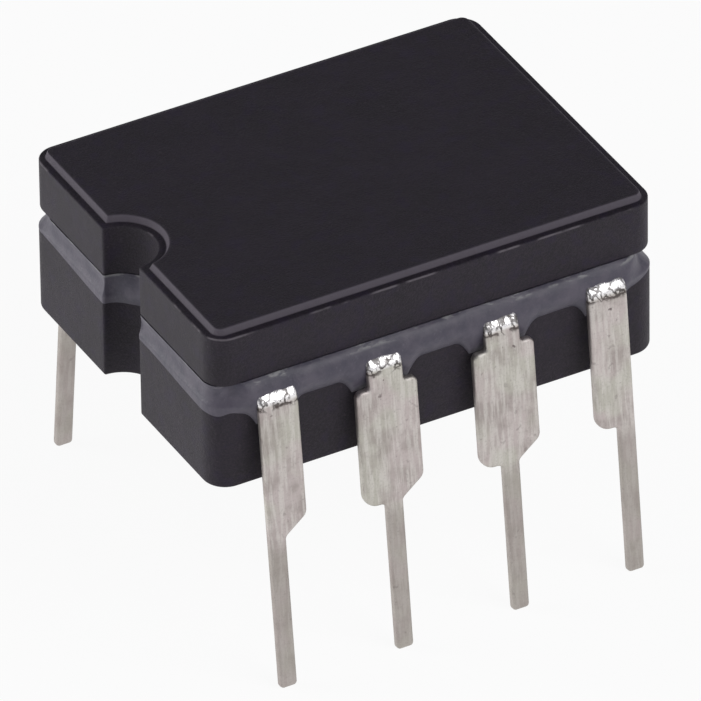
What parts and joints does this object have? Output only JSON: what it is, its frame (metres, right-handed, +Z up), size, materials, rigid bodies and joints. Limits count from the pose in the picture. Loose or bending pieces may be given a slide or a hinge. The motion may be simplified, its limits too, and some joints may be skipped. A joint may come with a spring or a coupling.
{
  "type": "ceramic dual in-line integrated circuit",
  "caption": "Ceramic dual in-line integrated circuit: black base and lid joined by sealing glass, an index notch at one end, and two rows of tinned flat leads bent down for a board or socket.",
  "frame": {"origin": "on the surface that the lead tips stand on, under the middle of the body", "axes": "+X along the rows, away from the index notch; +Y from leads 1-4 to leads 5-8; +Z up, out of the lid"},
  "size_m": [0.0098, 0.0094, 0.0079],
  "materials": {
    "black_alumina": "matte",
    "sealing_glass": "satin",
    "tinned_lead": "matte",
    "gold_attach": "satin",
    "silicon": "gloss",
    "aluminium_wire": "satin"
  },
  "bodies": {
    "root": {"ceramic_base": "black_alumina", "ceramic_lid": "black_alumina", "seal_glass": "sealing_glass", "lead_1": "tinned_lead", "lead_2": "tinned_lead", "lead_3": "tinned_lead", "lead_4": "tinned_lead", "lead_5": "tinned_lead", "lead_6": "tinned_lead", "lead_7": "tinned_lead", "lead_8": "tinned_lead", "die_attach": "gold_attach", "die": "silicon", "bond_wire_1": "aluminium_wire", "bond_wire_2": "aluminium_wire", "bond_wire_3": "aluminium_wire", "bond_wire_4": "aluminium_wire", "bond_wire_5": "aluminium_wire", "bond_wire_6": "aluminium_wire", "bond_wire_7": "aluminium_wire", "bond_wire_8": "aluminium_wire"}
  },
  "joints": []
}
